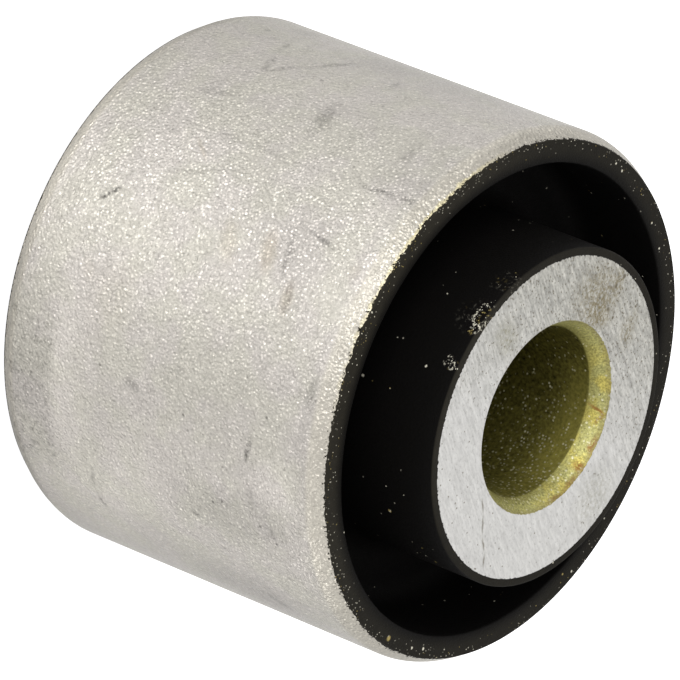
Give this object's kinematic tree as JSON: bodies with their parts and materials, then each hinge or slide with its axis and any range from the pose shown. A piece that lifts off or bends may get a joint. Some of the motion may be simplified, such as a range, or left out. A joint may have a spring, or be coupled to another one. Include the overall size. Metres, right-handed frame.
{
  "type": "rubber metal bush",
  "caption": "Cylindrical suspension bush: an aluminium outer sleeve and a longer, thick inner sleeve bonded together by a moulded rubber body with an annular recess at each end.",
  "frame": {"origin": "middle of the bolt bore, which is also the middle of the whole bush", "axes": "+Z along the bore; both ends are alike, and the bush stands on the lower end of its inner sleeve"},
  "size_m": [0.038, 0.038, 0.0364],
  "materials": {
    "blasted_aluminium": "shot-blasted, matt with a fine sparkle",
    "black_rubber": "moulded, matt",
    "sawn_aluminium": "sawn end faces, yellow conversion coating in the bore"
  },
  "bodies": {
    "root": {"outer_sleeve": "blasted_aluminium", "rubber_body": "black_rubber", "inner_sleeve": "sawn_aluminium"}
  },
  "joints": []
}
